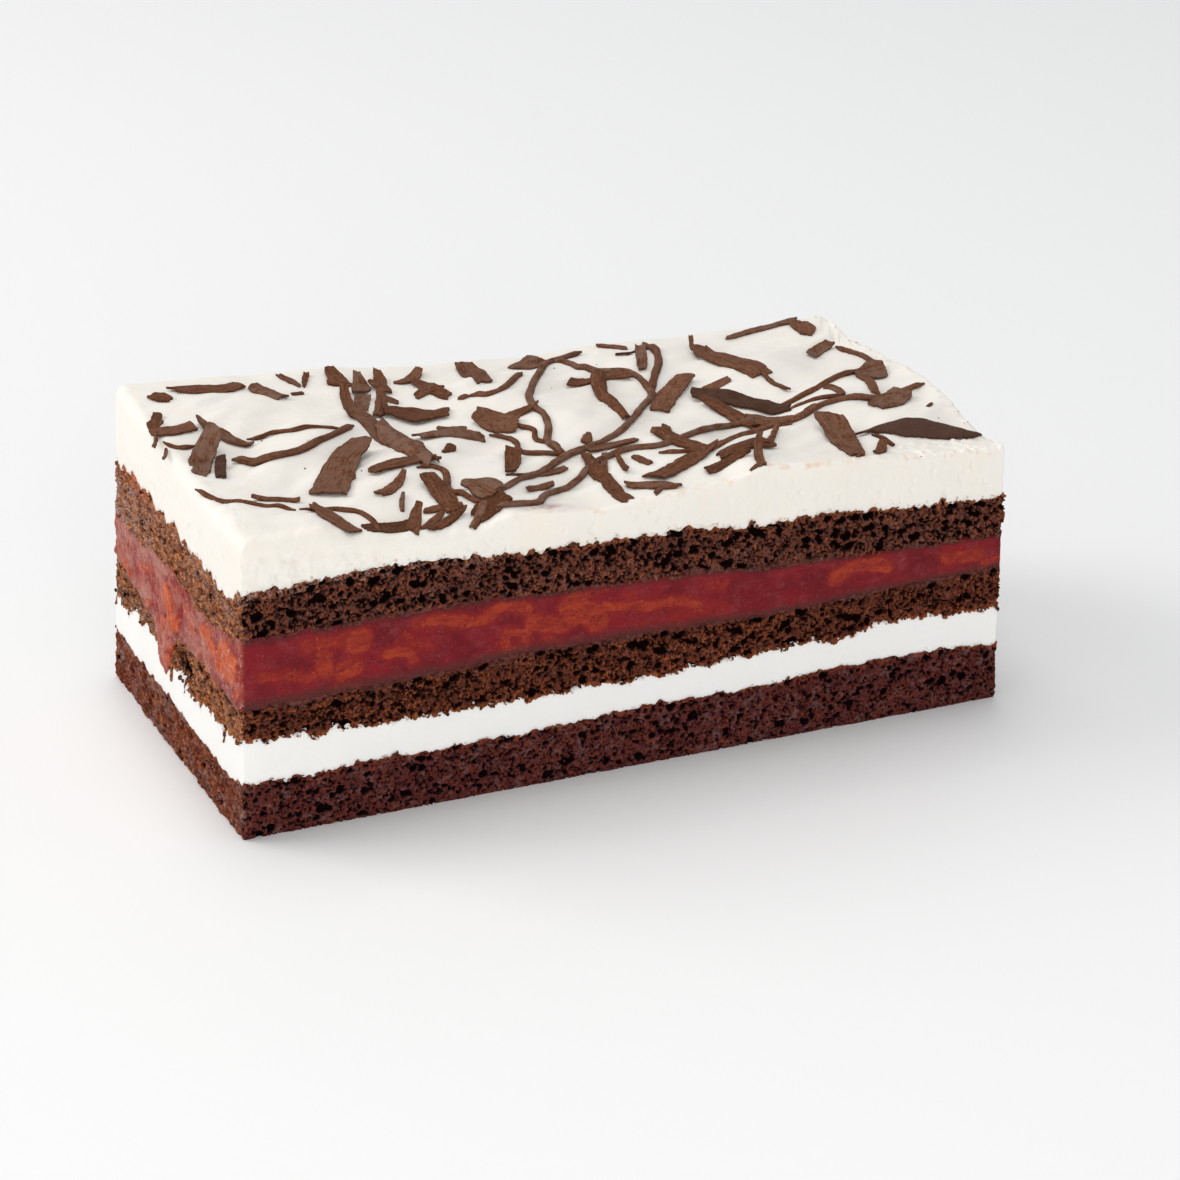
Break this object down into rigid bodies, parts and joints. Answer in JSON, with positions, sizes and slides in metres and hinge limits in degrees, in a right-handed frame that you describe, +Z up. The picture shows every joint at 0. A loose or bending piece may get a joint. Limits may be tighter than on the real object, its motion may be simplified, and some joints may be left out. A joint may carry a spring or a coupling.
{
  "type": "layered black forest cake slice",
  "caption": "Rectangular cake slice of dark sponge, cream and cherry filling in level layers, with shavings and threads on the swept cream top.",
  "frame": {"origin": "middle of the flat base of the slice", "axes": "+X along the slice towards its right end as seen from the front, +Y towards the back, +Z up"},
  "size_m": [0.174, 0.0854, 0.0693],
  "materials": {
    "sponge": "open dark crumb, matt",
    "cream": "soft satin",
    "cherry_filling": "moist gel"
  },
  "bodies": {
    "root": {"lower_sponge": "sponge", "lower_cream": "cream", "middle_sponge": "sponge", "cherry_filling": "cherry_filling", "upper_sponge": "sponge", "top_cream": "cream"}
  },
  "joints": []
}
